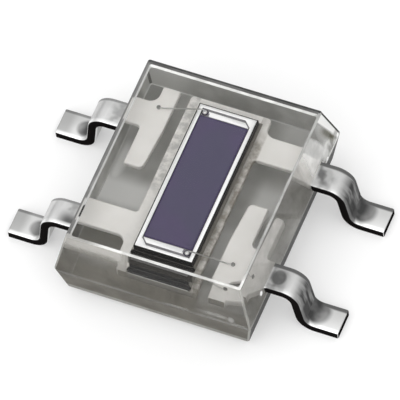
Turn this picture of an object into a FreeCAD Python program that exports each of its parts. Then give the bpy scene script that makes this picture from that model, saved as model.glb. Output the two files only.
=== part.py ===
import FreeCAD, Part
import math
import os
import re
import Sketcher
from FreeCAD import Placement, Rotation, Vector

# A photodiode chip on a stamped leadframe, moulded into a clear tapered block.
# +X runs across the package towards the right-hand leads, +Y along the chip, +Z up.
# The origin is under the block's centre, in the plane of the four solder feet.
# Lengths are in millimetres and angles in degrees.

SIZES = {
    # Moulded block, measured at its parting line
    "body_width": 4.29,
    "body_length": 4.96,
    "body_top": 2.04,
    "body_standoff": 0.15,
    "parting_height": 1.0,
    "upper_draft": 13.5,
    "lower_draft": 10.5,
    "corner_radius": 0.09,
    "rim_radius": 0.05,
    # Sheet metal of the leadframe and its four leads
    "metal_thickness": 0.2,
    "lead_width": 0.61,
    "lead_pitch": 2.54,
    "lead_span": 7.26,
    "foot_length": 0.87,
    "leg_lean": 8.0,
    "shoulder_bend": 0.2,
    "foot_bend": 0.2,
    # Plan of the die paddle, which reaches this far past the chip
    "paddle_side_margin": 0.235,
    "paddle_end_margin": 0.18,
    "paddle_corner": 0.08,
    "web_radius": 0.2,
    "web_room": 0.8,
    "web_flare": 0.74,
    "flare_radius": 0.2,
    "crook_radius": 0.06,
    # Plan of an anode post: a head for the wire and a tapered finger
    "post_gap": 0.24,
    "head_width": 0.38,
    "finger_width": 0.48,
    "finger_taper": 0.07,
    "finger_tip": 0.02,
    "tip_radius": 0.12,
    "notch_radius": 0.1,
    "post_corner": 0.04,
    # Silicon chip and the glue under it
    "chip_width": 1.29,
    "chip_length": 3.6,
    "chip_thickness": 0.3,
    "chip_offset_x": 0.04,
    "chip_offset_y": -0.04,
    "glue_thickness": 0.03,
    "glue_climb": 0.06,
    "glue_foot": 0.06,
    "glue_lip": 0.015,
    # Films on the chip
    "film_thickness": 0.02,
    "film_gap": 0.015,
    "window_corner": 0.03,
    "ring_margin": 0.025,
    "ring_side_width": 0.08,
    "ring_end_width": 0.07,
    "ring_chamfer": 0.14,
    "strip_gap": 0.055,
    "strip_width": 0.11,
    "strip_slot": 0.035,
    "strip_neck": 0.035,
    "pad_radius": 0.07,
    # Bond wires
    "wire_radius": 0.015,
    "ball_radius": 0.05,
    "ball_height": 0.03,
    "ball_chamfer": 0.01,
    "loop_rise": 0.05,
    "loop_bend": 0.07,
    "heel_bend": 0.12,
    "stitch_radius": 0.045,
    "stitch_height": 0.04,
    "stitch_inset": 0.29,
    "stitch_run": 0.06,
    "stitch_from_end": 0.5,
}

# Formulas in the size names, shared by several pieces
METAL_TOP = "(parting_height + metal_thickness)"
CHIP_BASE = f"({METAL_TOP} + glue_thickness)"
CHIP_TOP = f"({CHIP_BASE} + chip_thickness)"
FILM_TOP = f"({CHIP_TOP} + film_thickness)"
BODY_SIDE = "body_width / 2"
CHIP_SIDE = "chip_width / 2"
CHIP_END = "chip_length / 2"
PADDLE_SIDE = f"({CHIP_SIDE} + paddle_side_margin)"
PADDLE_END = f"({CHIP_END} + paddle_end_margin)"
ARM_OUTER = "(lead_pitch + lead_width) / 2"
ARM_INNER = "(lead_pitch - lead_width) / 2"
WEB_RADIUS = f"min(web_radius; web_room * ({PADDLE_END} - {ARM_OUTER} - paddle_corner))"
WEB_DEPTH = f"({PADDLE_END} - {ARM_OUTER})"
FLARED_WEB = f"({ARM_OUTER} + web_flare * {WEB_DEPTH})"
FLARE_RADIUS = f"(flare_radius * {WEB_DEPTH})"
POST_INNER = f"({PADDLE_SIDE} + post_gap)"
FINGER_SIDE = f"({POST_INNER} + finger_width)"
RING_INSIDE = f"({CHIP_SIDE} - ring_margin - ring_side_width)"
RING_END = f"({CHIP_END} - ring_margin - ring_end_width)"
STRIP_END = f"({RING_END} - strip_gap)"
STRIP_START = f"({STRIP_END} - strip_width)"
WINDOW_SIDE = f"({RING_INSIDE} - film_gap)"
WINDOW_END = f"({STRIP_START} - film_gap)"
PAD_X = f"({WINDOW_SIDE} - pad_radius)"
PAD_Y = f"({STRIP_START} + pad_radius)"

# Numbers by which a sketch knows its origin and the points of an element
ORIGIN_POINT = (-1, 1)
START = 1
END = 2
CENTRE = 3

# Two places nearer than this are one
SAME_PLACE = 1e-4

doc = FreeCAD.newDocument("photodiode")


def make_sheet():
    """One row for each size: its name, and its value under an alias of the same name."""
    sheet = doc.addObject("Spreadsheet::Sheet", "Sizes")
    for row, (name, value) in enumerate(SIZES.items(), start=1):
        sheet.set(f"A{row}", name)
        sheet.set(f"B{row}", str(value))
        sheet.setAlias(f"B{row}", name)
    doc.recompute()
    return sheet


sheet = make_sheet()


def bound(formula):
    """The formula with each size name pointed at its cell; every size name has an underscore."""
    return re.sub(r"[a-z]+(?:_[a-z]+)+", lambda name: "Sizes." + name.group(), formula)


def bind(thing, prop, formula):
    thing.setExpression(prop, bound(formula))


def new_body(label):
    body = doc.addObject("PartDesign::Body", label)
    body.Label = label
    return body


def base_plane(body, role):
    return next(plane for plane in body.Origin.OriginFeatures if plane.Role == role)


def new_sketch(body, name, role="XY_Plane", height="0"):
    """An empty sketch on one of the body's own planes, moved along that plane's normal."""
    sketch = body.newObject("Sketcher::SketchObject", name)
    sketch.AttachmentSupport = (base_plane(body, role), [""])
    sketch.MapMode = "FlatFace"
    bind(sketch, "AttachmentOffset.Base.z", height)
    return sketch


def worked_out(formula):
    return float(sheet.evalExpression(bound(formula)))


def worked_out_point(place):
    return Vector(*(worked_out(formula) for formula in place), 0)


def hold(sketch, element, vertex, place, axes="XY"):
    """Keeps a point of the sketch at formulas for its coordinates."""
    for axis in axes:
        formula = place["XY".index(axis)]
        held = Sketcher.Constraint("Distance" + axis, *ORIGIN_POINT, element, vertex, worked_out(formula))
        number = sketch.addConstraint(held)
        name = f"{axis.lower()}_{element}_{vertex}"
        sketch.renameConstraint(number, name)
        bind(sketch, f"Constraints.{name}", formula)


def add_loop(sketch, corners):
    """A closed outline of straight sides between corners held at formulas."""
    first = sketch.GeometryCount
    count = len(corners)
    points = [worked_out_point(corner) for corner in corners]
    for index in range(count):
        sketch.addGeometry(Part.LineSegment(points[index], points[(index + 1) % count]), False)
    for index, corner in enumerate(corners):
        side = first + index
        after = first + (index + 1) % count
        sketch.addConstraint(Sketcher.Constraint("Coincident", side, END, after, START))
        hold(sketch, side, START, corner)


def add_route(sketch, places, centres):
    """An open path between held places; a stretch that has a centre is an arc about it."""
    points = [worked_out_point(place) for place in places]
    ends = []
    for index, (here, there) in enumerate(zip(points, points[1:])):
        if index not in centres:
            sketch.addGeometry(Part.LineSegment(here, there), False)
            ends.append((START, END))
            continue
        centre = worked_out_point(centres[index])
        forward = (here - centre).cross(there - centre).z > 0
        first, last = (here, there) if forward else (there, here)
        circle = Part.Circle(centre, Vector(0, 0, 1), (here - centre).Length)
        angles = [math.atan2(point.y - centre.y, point.x - centre.x) for point in (first, last)]
        sketch.addGeometry(Part.ArcOfCircle(circle, *angles), False)
        ends.append((START, END) if forward else (END, START))
        hold(sketch, index, CENTRE, centres[index], axes="Y")
    for index, (begin, end) in enumerate(ends):
        hold(sketch, index, begin, places[index])
        if index + 1 < len(ends):
            sketch.addConstraint(Sketcher.Constraint("Coincident", index, end, index + 1, ends[index + 1][0]))
        else:
            hold(sketch, index, end, places[index + 1])


def add_circle(sketch, centre, radius):
    """A circle whose centre and radius are held at formulas."""
    outline = Part.Circle(worked_out_point(centre), Vector(0, 0, 1), worked_out(radius))
    circle = sketch.addGeometry(outline, False)
    hold(sketch, circle, CENTRE, centre)
    number = sketch.addConstraint(Sketcher.Constraint("Radius", circle, worked_out(radius)))
    sketch.renameConstraint(number, "radius")
    bind(sketch, "Constraints.radius", radius)


def box_corners(half_x, half_y):
    return [
        (f"-({half_x})", f"-({half_y})"),
        (half_x, f"-({half_y})"),
        (half_x, half_y),
        (f"-({half_x})", half_y),
    ]


def pad(body, sketch, length, both_ways=False):
    """A straight extrusion of the sketch along its normal."""
    feature = body.newObject("PartDesign::Pad", sketch.Name + "_pad")
    feature.Profile = sketch
    bind(feature, "Length", length)
    if both_ways:
        feature.SideType = "Symmetric"
    return feature


def corner_point(sketch, index):
    return sketch.Placement.multVec(sketch.Geometry[index].StartPoint)


def edges_at_corners(shape, sketch, corners):
    """Names of the edges that the sketch's corners left along its normal."""
    normal = sketch.Placement.Rotation.multVec(Vector(0, 0, 1))
    names = []
    for corner in corners:
        point = corner_point(sketch, corner)
        for number, edge in enumerate(shape.Edges, start=1):
            ends = [vertex.Point for vertex in edge.Vertexes]
            if len(ends) != 2:
                continue
            along = ends[1] - ends[0]
            across = point - ends[0]
            aligned = along.cross(normal).Length < SAME_PLACE
            on_line = across.cross(normal).Length < SAME_PLACE
            if aligned and on_line:
                names.append(f"Edge{number}")
    if len(names) < len(corners):
        raise RuntimeError(f"{sketch.Name}: {len(corners)} corners gave {len(names)} edges")
    return names


def edges_at_height(shape, height):
    """Names of the edges that lie level at a height."""
    level = worked_out(height)
    names = []
    for number, edge in enumerate(shape.Edges, start=1):
        heights = [vertex.Point.z for vertex in edge.Vertexes]
        if max(abs(place - level) for place in heights) < SAME_PLACE:
            names.append(f"Edge{number}")
    return names


def fillet(body, name, edges, radius):
    """Rounds the named edges of the body's last feature."""
    base = body.Tip
    feature = body.newObject("PartDesign::Fillet", name)
    feature.Base = (base, edges)
    bind(feature, "Radius", radius)
    doc.recompute()
    return feature


def round_corners(body, name, sketch, corners, radius):
    doc.recompute()
    return fillet(body, name, edges_at_corners(body.Tip.Shape, sketch, corners), radius)


def place_on_chip(piece, height):
    """Puts a piece drawn about the chip's centre onto the chip, at a height."""
    bind(piece, "Placement.Base.x", "chip_offset_x")
    bind(piece, "Placement.Base.y", "chip_offset_y")
    bind(piece, "Placement.Base.z", height)


def half_turn(piece):
    piece.Placement = Placement(Vector(), Rotation(Vector(0, 0, 1), 180))


def add_gull_wing(body, name, side, centre_y):
    """A formed lead: flat shoulder, leaning leg and solder foot, cut from one strip."""
    lean = "tan(leg_lean)"
    leg_run = "metal_thickness / cos(leg_lean)"
    knee = "(lead_span / 2 - foot_length)"
    outer = f"({knee} + {leg_run})"
    profile = [
        (FINGER_SIDE, "parting_height"),
        (f"{knee} - parting_height * {lean}", "parting_height"),
        (knee, "0"),
        ("lead_span / 2", "0"),
        ("lead_span / 2", "metal_thickness"),
        (f"{outer} - metal_thickness * {lean}", "metal_thickness"),
        (f"{outer} - {METAL_TOP} * {lean}", METAL_TOP),
        (FINGER_SIDE, METAL_TOP),
    ]
    under_shoulder, knee_corner, foot_corner, over_shoulder = 1, 2, 5, 6
    turned = [(f"{side} * ({across})", height) for across, height in profile]
    sketch = new_sketch(body, name, "XZ_Plane", f"-({centre_y})")
    add_loop(sketch, turned)
    pad(body, sketch, "lead_width", both_ways=True)
    round_corners(body, name + "_shoulder_inside", sketch, [under_shoulder], "shoulder_bend")
    round_corners(body, name + "_shoulder_outside", sketch, [over_shoulder],
                  "shoulder_bend + metal_thickness")
    round_corners(body, name + "_foot_inside", sketch, [foot_corner], "foot_bend")
    round_corners(body, name + "_foot_outside", sketch, [knee_corner], "foot_bend + metal_thickness")


def make_cathode():
    """The die paddle with an arm and a lead at two opposite corners, in one piece."""
    body = new_body("cathode_leadframe")
    half_plan = [
        (PADDLE_SIDE, f"-{PADDLE_END}"),
        (PADDLE_SIDE, ARM_INNER),
        (BODY_SIDE, ARM_INNER),
        (BODY_SIDE, ARM_OUTER),
        (PADDLE_SIDE, ARM_OUTER),
        (PADDLE_SIDE, PADDLE_END),
    ]
    other_half = [(f"-({across})", f"-({along})") for across, along in half_plan]
    plan = new_sketch(body, "cathode_plan", height="parting_height")
    add_loop(plan, half_plan + other_half)
    pad(body, plan, "metal_thickness")
    round_corners(body, "paddle_corners", plan, [0, 5, 6, 11], "paddle_corner")
    round_corners(body, "web_corners", plan, [4, 10], WEB_RADIUS)
    round_corners(body, "crook_corners", plan, [1, 7], "crook_radius")
    add_gull_wing(body, "cathode_wing_right", 1, "lead_pitch / 2")
    add_gull_wing(body, "cathode_wing_left", -1, "-lead_pitch / 2")
    return body


def make_anode(label, web_start, web_radius):
    """A post beside the paddle with its own lead, drawn for the far-left corner.

    Its web leaves the head at web_start and runs to the width of the lead.
    """
    body = new_body(label)
    head_side = f"-({POST_INNER} + head_width)"
    outline = [
        (f"-{POST_INNER}", PADDLE_END),
        (head_side, PADDLE_END),
        (head_side, web_start),
        (f"-{BODY_SIDE}", ARM_OUTER),
        (f"-{BODY_SIDE}", ARM_INNER),
        (f"-{FINGER_SIDE}", ARM_INNER),
        (f"-{FINGER_SIDE}", "finger_tip"),
        (f"-({POST_INNER} + finger_taper)", "finger_tip"),
        (f"-{POST_INNER}", ARM_INNER),
    ]
    plan = new_sketch(body, label + "_plan", height="parting_height")
    add_loop(plan, outline)
    pad(body, plan, "metal_thickness")
    round_corners(body, label + "_head_web", plan, [2], web_radius)
    round_corners(body, label + "_notch", plan, [5], "notch_radius")
    round_corners(body, label + "_tip", plan, [7], "tip_radius")
    round_corners(body, label + "_corners", plan, [0, 1, 6], "post_corner")
    add_gull_wing(body, label + "_wing", -1, "lead_pitch / 2")
    return body


def make_glue():
    """The glue under the chip, which creeps out and climbs its sides a little."""
    body = new_body("die_attach")
    spread = new_sketch(body, "glue_spread")
    add_loop(spread, box_corners(f"{CHIP_SIDE} + glue_foot", f"{CHIP_END} + glue_foot"))
    bead = pad(body, spread, "glue_thickness + glue_climb")
    bind(bead, "TaperAngle", "-atan((glue_foot - glue_lip) / (glue_thickness + glue_climb))")
    seat = new_sketch(body, "chip_seat", height="glue_thickness + glue_climb")
    add_loop(seat, box_corners(CHIP_SIDE, CHIP_END))
    pocket = body.newObject("PartDesign::Pocket", "chip_pocket")
    pocket.Profile = seat
    bind(pocket, "Length", "glue_climb")
    place_on_chip(body, METAL_TOP)
    return body


def make_slab(label, half_x, half_y, thickness, height):
    """A rectangular slab on the chip's centre; returns its body and its sketch."""
    body = new_body(label)
    sketch = new_sketch(body, label + "_outline")
    add_loop(sketch, box_corners(half_x, half_y))
    pad(body, sketch, thickness)
    place_on_chip(body, height)
    return body, sketch


def make_window():
    body, outline = make_slab("active_window", WINDOW_SIDE, WINDOW_END, "film_thickness", CHIP_TOP)
    round_corners(body, "window_corners", outline, [0, 1, 2, 3], "window_corner")
    return body


def make_ring():
    """The metal ring on the chip's rim, with two of its inner corners cut off."""
    body = new_body("guard_ring")
    outline = new_sketch(body, "ring_outline")
    add_loop(outline, box_corners(f"{CHIP_SIDE} - ring_margin", f"{CHIP_END} - ring_margin"))
    add_loop(outline, [
        (f"-{RING_INSIDE} + ring_chamfer", f"-{RING_END}"),
        (RING_INSIDE, f"-{RING_END}"),
        (RING_INSIDE, f"{RING_END} - ring_chamfer"),
        (f"{RING_INSIDE} - ring_chamfer", RING_END),
        (f"-{RING_INSIDE}", RING_END),
        (f"-{RING_INSIDE}", f"-{RING_END} + ring_chamfer"),
    ])
    pad(body, outline, "film_thickness")
    place_on_chip(body, CHIP_TOP)
    return body


def make_strip(label, turned):
    """A contact strip with a round bond pad, drawn for the far end of the chip."""
    body = new_body(label)
    start_x = f"(-{PAD_X} + pad_radius + strip_slot)"
    strip = new_sketch(body, label + "_outline")
    add_loop(strip, [
        (start_x, STRIP_START),
        (WINDOW_SIDE, STRIP_START),
        (f"{WINDOW_SIDE} - strip_width", STRIP_END),
        (f"-{PAD_X}", STRIP_END),
        (f"-{PAD_X}", f"{STRIP_END} - strip_neck"),
        (start_x, f"{STRIP_END} - strip_neck"),
    ])
    pad(body, strip, "film_thickness")
    bond_pad = new_sketch(body, label + "_pad")
    add_circle(bond_pad, (f"-{PAD_X}", PAD_Y), "pad_radius")
    pad(body, bond_pad, "film_thickness")
    if turned:
        half_turn(body)
    place_on_chip(body, CHIP_TOP)
    return body


def wire_route(span, drop):
    """Places and arc centres of a wire's line, in its own plane: up, over, down, and along the post."""
    top = "(ball_height + loop_rise)"
    landing = f"(stitch_height / 2 - {drop})"
    heel_x = f"({span} - stitch_run)"
    heel_z = f"({landing} + heel_bend)"
    across = f"({heel_x} - loop_bend)"
    down = f"({top} - {heel_z})"
    fall = f"(atan2({down}; {across}) + asin((loop_bend + heel_bend) / sqrt({across}^2 + {down}^2)))"
    places = [
        ("0", "ball_height / 2"),
        ("0", top),
        (f"loop_bend * (1 + sin{fall})", f"{top} + loop_bend * cos{fall}"),
        (f"{heel_x} - heel_bend * sin{fall}", f"{heel_z} - heel_bend * cos{fall}"),
        (heel_x, landing),
        (span, landing),
    ]
    over_the_top, down_to_the_post = 1, 3
    return places, {over_the_top: ("loop_bend", top), down_to_the_post: (heel_x, heel_z)}


def make_bond_wire(label, side):
    """Ball, loop and stitch of one wire, from a bond pad on the chip to the post on that side."""
    start = (f"(chip_offset_x + {side} * {PAD_X})", f"(chip_offset_y - {side} * {PAD_Y})")
    end = (f"({side} * ({POST_INNER} + stitch_inset))", f"({side} * (stitch_from_end - {PADDLE_END}))")
    run_x, run_y = (f"({last} - {first})" for first, last in zip(start, end))
    span = f"sqrt({run_x}^2 + {run_y}^2)"
    drop = f"({FILM_TOP} - {METAL_TOP})"
    body = new_body(label)
    disc = new_sketch(body, label + "_disc")
    add_circle(disc, ("0", "0"), "ball_radius")
    disc_pad = pad(body, disc, "ball_height")
    doc.recompute()
    shoulder = body.newObject("PartDesign::Chamfer", label + "_shoulder")
    shoulder.Base = (disc_pad, edges_at_height(disc_pad.Shape, "ball_height"))
    bind(shoulder, "Size", "ball_chamfer")
    section = new_sketch(body, label + "_section", height="ball_height / 2")
    add_circle(section, ("0", "0"), "wire_radius")
    route = new_sketch(body, label + "_route", "XZ_Plane")
    add_route(route, *wire_route(span, drop))
    loop = body.newObject("PartDesign::AdditivePipe", label + "_loop")
    loop.Profile = section
    loop.Spine = route
    stitch = new_sketch(body, label + "_stitch", height=f"-{drop}")
    add_circle(stitch, (span, "0"), "stitch_radius")
    pad(body, stitch, "stitch_height")
    body.Placement = Placement(Vector(), Rotation(Vector(0, 0, 1), 1))
    bind(body, "Placement.Rotation.Angle", f"atan2({run_y}; {run_x})")
    for axis, formula in zip("xyz", (*start, FILM_TOP)):
        bind(body, f"Placement.Base.{axis}", formula)
    return body


def make_block():
    """The moulded block before the inserts are taken out of it, drafted from its parting line."""
    body = new_body("moulded_block")
    outline = new_sketch(body, "parting_outline", height="parting_height")
    add_loop(outline, box_corners(BODY_SIDE, "body_length / 2"))
    block = pad(body, outline, "body_top - parting_height")
    block.SideType = "Two sides"
    bind(block, "Length2", "parting_height - body_standoff")
    bind(block, "TaperAngle", "-upper_draft")
    bind(block, "TaperAngle2", "-lower_draft")
    doc.recompute()
    slanted = []
    for number, edge in enumerate(block.Shape.Edges, start=1):
        low, high = sorted(vertex.Point.z for vertex in edge.Vertexes)
        if high - low > SAME_PLACE:
            slanted.append(f"Edge{number}")
    fillet(body, "block_corners", slanted, "corner_radius")
    fillet(body, "block_rim", edges_at_height(body.Tip.Shape, "body_top"), "rim_radius")
    return body


def make_resin(block, inserts):
    """The block moulded round the inserts: what they fill is cut out of it."""
    filled = doc.addObject("Part::MultiFuse", "inserts")
    filled.Shapes = inserts
    resin = doc.addObject("Part::Cut", "resin_body")
    resin.Label = "resin_body"
    resin.Base = block
    resin.Tool = filled
    return resin


def make_pieces():
    cathode = make_cathode()
    anode_left = make_anode("anode_lead_left", ARM_OUTER, WEB_RADIUS)
    anode_right = make_anode("anode_lead_right", FLARED_WEB, FLARE_RADIUS)
    half_turn(anode_right)
    glue = make_glue()
    chip, _ = make_slab("photodiode_chip", CHIP_SIDE, CHIP_END, "chip_thickness", CHIP_BASE)
    films = [
        make_window(),
        make_ring(),
        make_strip("contact_strip_far", turned=False),
        make_strip("contact_strip_near", turned=True),
    ]
    wires = [make_bond_wire("bond_wire_left", -1), make_bond_wire("bond_wire_right", 1)]
    inserts = [cathode, anode_left, anode_right, glue, chip] + films + wires
    block = make_block()
    resin = make_resin(block, inserts)
    doc.recompute()
    return [resin] + inserts


def check(pieces):
    """Stops before anything is written if an object failed or a piece isn't one valid solid."""
    for item in doc.Objects:
        if {"Invalid", "Error"} & set(item.State):
            raise RuntimeError(f"{item.Name} failed: {item.State}")
    for piece in pieces:
        shape = piece.Shape
        if shape.isNull() or not shape.isValid():
            raise RuntimeError(f"{piece.Label} has no valid shape")
        if len(shape.Solids) != 1:
            raise RuntimeError(f"{piece.Label} has {len(shape.Solids)} solids")


def write(pieces):
    os.makedirs("parts", exist_ok=True)
    for piece in pieces:
        piece.Shape.exportStep(f"parts/{piece.Label}.step")
        box = piece.Shape.BoundBox
        print(f"{piece.Label}: {piece.Shape.Volume:.5f} mm3, {box}")


pieces = make_pieces()
check(pieces)
write(pieces)
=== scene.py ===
import math

import bmesh
import bpy
from mathutils import Matrix, Vector


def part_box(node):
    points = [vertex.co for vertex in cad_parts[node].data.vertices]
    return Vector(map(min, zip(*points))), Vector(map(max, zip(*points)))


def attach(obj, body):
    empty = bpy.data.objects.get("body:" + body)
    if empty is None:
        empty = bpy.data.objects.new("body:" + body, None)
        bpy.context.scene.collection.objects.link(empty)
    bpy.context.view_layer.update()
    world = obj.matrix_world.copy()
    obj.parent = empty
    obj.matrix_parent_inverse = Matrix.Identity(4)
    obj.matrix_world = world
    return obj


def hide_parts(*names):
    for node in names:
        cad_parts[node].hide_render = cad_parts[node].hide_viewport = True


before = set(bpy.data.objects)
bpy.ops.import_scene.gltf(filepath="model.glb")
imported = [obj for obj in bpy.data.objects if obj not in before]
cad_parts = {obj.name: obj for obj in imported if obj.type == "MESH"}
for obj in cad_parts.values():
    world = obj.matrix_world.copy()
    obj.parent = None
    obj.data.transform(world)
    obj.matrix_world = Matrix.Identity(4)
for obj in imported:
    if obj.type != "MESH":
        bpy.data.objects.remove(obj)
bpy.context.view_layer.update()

# A photodiode in a clear moulded block with four formed leads.
# +X runs towards the right-hand leads, +Y along the chip and +Z up, from the plane of the feet.
# Lengths are in millimetres until a mesh is made, and angles are in degrees.
# A pair of places is a soft edge: where a mark starts to change, and where the change is done.
# A pair of colours is the two that noise runs between.
MM = 0.001


def node_box(name):
    """Lowest and highest corner of a node, in millimetres."""
    return tuple(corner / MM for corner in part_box(name))


def ball_middle(node, side):
    """Where a wire's ball stands on the chip: the end of the node's box that is nearer to the chip."""
    low, high = node_box(node)
    if side < 0:
        return high.x - BALL_RADIUS, high.y - BALL_RADIUS
    return low.x + BALL_RADIUS, low.y + BALL_RADIUS


def rgb(red, green, blue):
    return (red, green, blue, 1.0)


def grey(level):
    return rgb(level, level, level)


# Clear block; its top is a raised land, set back from the far and left rims
BLOCK_LOW, BLOCK_HIGH = node_box("resin_body")
PARTING_HEIGHT = 1.0
PARTING_BAND = 0.03
UPPER_LEAN = math.tan(math.radians(13.5))
LOWER_LEAN = math.tan(math.radians(10.5))
CORNER_RADIUS = 0.045
RIM_RADIUS = 0.030
LAND_RISE = 0.015
LAND_SETBACK = 0.10
LEFT_SETBACK_SHARE = 0.6
LAND_RAMP = 0.07
LAND_SLIVER = 0.005
RIM_FLAT = 0.022
ARC_STEPS = 10
FLAT_RUN = 1.0

# Finishes of the block, in the order of its materials, and what takes a finish's place on a side
CLEAR, GROUND, RIM, DARK_RIM, LAND_EDGE, BORDER = range(6)
# The far and left rims take the dark rim, a painted dark reflection, and the near and right sides take the
# bright rim, a painted highlight
FAR_LEFT_FINISHES = {RIM: DARK_RIM}
NEAR_RIGHT_FINISHES = {BORDER: RIM}

# Sheet metal, chip, films and wires
LEAD_OUTSIDE = 2.09
LEAD_PITCH = 2.54
LEAD_HALF_WIDTH = 0.305
CHIP_LOW, CHIP_HIGH = node_box("photodiode_chip")
CHIP_MIDDLE = (CHIP_LOW + CHIP_HIGH) / 2
CHIP_HALF_WIDTH = (CHIP_HIGH.x - CHIP_LOW.x) / 2
CHIP_HALF_LENGTH = (CHIP_HIGH.y - CHIP_LOW.y) / 2
BALL_RADIUS = 0.05
BALLS = [ball_middle("bond_wire_left", -1), ball_middle("bond_wire_right", 1)]
STITCH_START = 1.36
FRAME_EDGE_RADIUS = 0.03
CHIP_EDGE_RADIUS = 0.008
FILM_EDGE_RADIUS = 0.004
EDGE_STEPS = 3

# A node's mesh: distances taken as nothing, and turns taken as flat or as an edge
SAME_PLACE = 0.0005
FLAT_ANGLE = 0.5
EDGE_ANGLE = 40.0

# Levels of noise where marks start and are full
CLOUDY = (0.30, 0.70)
SPECKLED = (0.35, 0.65)
PATCHY = (0.36, 0.60)
STREAKY = (0.36, 0.62)
FLECKED = (0.40, 0.62)
BLOTCHED = (0.40, 0.65)
WISPY = (0.50, 0.62)

# Spots of noise in a millimetre
EPOXY_CLOUDS = 2.4
EPOXY_FLECKS = 4.0
EPOXY_WISPS = 1.1
GROUND_CLOUDS = 1.3
BORDER_MOTTLE = 2.0
RIM_MOTTLE = 2.5
PLATING_CLOUDS = 1.6
PLATING_PATCHES = 3.0
PLATING_STREAKS = (1.5, 9.0, 1.5)
PLATING_SPECKLE = 5.0
PLATING_GRAIN = 24.0
SAW_LINES = 24.0
WINDOW_PATCHES = 1.1
FILM_GRAIN = 14.0
GLUE_GRAIN = 10.0
WIRE_GRAIN = 12.0
FLOOR_TONE = 0.02

# Soft edges that several finishes share: the part's middle, the block's diagonals, and how square a face
# stands to an axis
MIDDLE = (-0.1, 0.1)
DIAGONAL = (-0.04, 0.04)
SQUARE_ON = (0.5, 0.9)

# Epoxy: its walls, seam, corners and dull lower half, with painted light and shade in its haze
RESIN_IOR = 1.54
RESIN_TINT = rgb(0.95, 0.95, 0.935)
RESIN_REFLECTION = grey(0.35)
RIGHT_WALL = (1.70, 1.85)
NEAR_WALL = (-2.15, -2.00)
SEAM = (0.011, 0.055)
SKIRT = (PARTING_HEIGHT - 0.20, PARTING_HEIGHT + 0.06)
CORNER_TURN = (0.02, 0.14)
TURNED_AWAY = (0.80, 0.92)
DARK_EDGE = (0.6, 1.6)
PALE_BACK = (-2.3, -1.0)
FAR_LEFT_END = (1.9, 2.1)
FAR_LEFT_SIDE = (-1.5, -0.9)
# The dull greys are darker than the clear epoxy looks: a matt finish with painted shade in it, on the lower
# half and the veils over the near and right walls
DULL = rgb(0.105, 0.098, 0.082), rgb(0.150, 0.141, 0.121)
DULL_RIGHT = rgb(0.190, 0.184, 0.168), rgb(0.240, 0.233, 0.215)
# Painted light: paler haze on the far and left walls, palest at the far-left end
PALE_DULL = rgb(0.600, 0.598, 0.575), rgb(0.720, 0.717, 0.695)
PALEST_DULL = rgb(0.93, 0.93, 0.91)
MILKY = rgb(0.350, 0.347, 0.325)
# Painted dark reflection where walls are seen at a grazing angle, and a painted dark outline at the far edge
# of the right wall
GRAZING_SHADE_BLACK = grey(0.03)

# Marks in the right-hand wall, most of them painted light and shade: white flecks and a white highlight near
# the far corner, the web painted pale where it shows through, glints and a dark outline
FAR_END = (1.45, 1.75)
FAR_END_FOOT = (PARTING_HEIGHT - 0.04, PARTING_HEIGHT)
# Painted highlight at the far end of the seam
FAR_SEAM_WHITE = rgb(0.80, 0.80, 0.785)
# Painted highlight: white flecks at the far end of the wall
FLECK_HIGHLIGHT_TOP = (1.30, 1.50)
FLECK_HIGHLIGHT_WHITE = rgb(0.74, 0.74, 0.725)
FAR_SLANT_TOP = 1.79
FAR_SLANT = 0.14
# Painted highlight near the far corner
CORNER_HIGHLIGHT_FACING = (0.4, 0.6)
CORNER_HIGHLIGHT_EDGE = (0.22, 0.29)
CORNER_HIGHLIGHT_FOOT = (1.10, 1.30)
CORNER_HIGHLIGHT_WHITE = rgb(0.88, 0.88, 0.86)
HOLLOW_START = (0.24, 0.30)
HOLLOW_END = (0.34, 0.50)
HOLLOW_FOOT = (1.05, 1.20)
HOLLOW_TOP = (1.55, 1.90)
HOLLOW_BROWN = rgb(0.085, 0.078, 0.045)
HAZE_FOOT = (1.15, 1.30)
# Painted light: the web and the far end are painted pale where the web shows through the wall
WEB_START = (0.90, 1.35)
WEB_END = (2.30, 2.46)
WEB_SLANT = 0.39
PALE_END_START = (1.6, 1.9)
PALE_END_END = (0.9, 1.1)
WEB_SHOWS = (0.0, 0.4)
WEB_WHITE = rgb(0.84, 0.84, 0.825)
# Painted dark outline along the far edge of the wall
OUTLINE_FACING = (0.15, 0.30)
OUTLINE_WIDTH = (0.05, 0.08)
OUTLINE_FOOT = (1.0, 1.1)
RIGHT_VEIL_END = (0.8, 1.0)
# Painted glints
GLINT_SIZE = (0.035, 0.075)
GLINT_WHITE = rgb(0.97, 0.97, 0.96)
GLINTS = [(2.36, 1.06), (1.77, 1.02), (1.57, 1.12), (-1.73, 1.20)]

# Marks in the near wall, and what is seen through it; the dot beside the smudge is a painted glint
SILL_TOP = (0.29, 0.35)
CHIP_SEEN_AT = 0.17
CHIP_SEEN = (0.68, 0.74)
CHIP_SEEN_FOOT = (1.36, 1.46)
RING_SEEN_FOOT = (1.78, 1.84)
RING_SHADE = rgb(0.035, 0.033, 0.030)
ARM_SEEN_FOOT = (1.60, 1.90)
ARM_SEEN_END = (-0.75, -0.55)
ARM_HAZE = rgb(0.46, 0.45, 0.42)
POST_SEEN_START = (0.95, 1.05)
POST_SEEN_FOOT = (1.25, 1.40)
SMUDGE_AT = (1.36, 1.10)
SMUDGE_SQUEEZE = (1.6, 9.0)
SMUDGE_SIZE = (0.15, 0.75)
# Painted glint: a small dot beside the smudge
GLINT_DOT_AT = (1.72, 1.09)
GLINT_DOT_SIZE = (0.03, 0.11)
SMUDGE_AND_GLINT_GREY = rgb(0.620, 0.617, 0.600)

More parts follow.
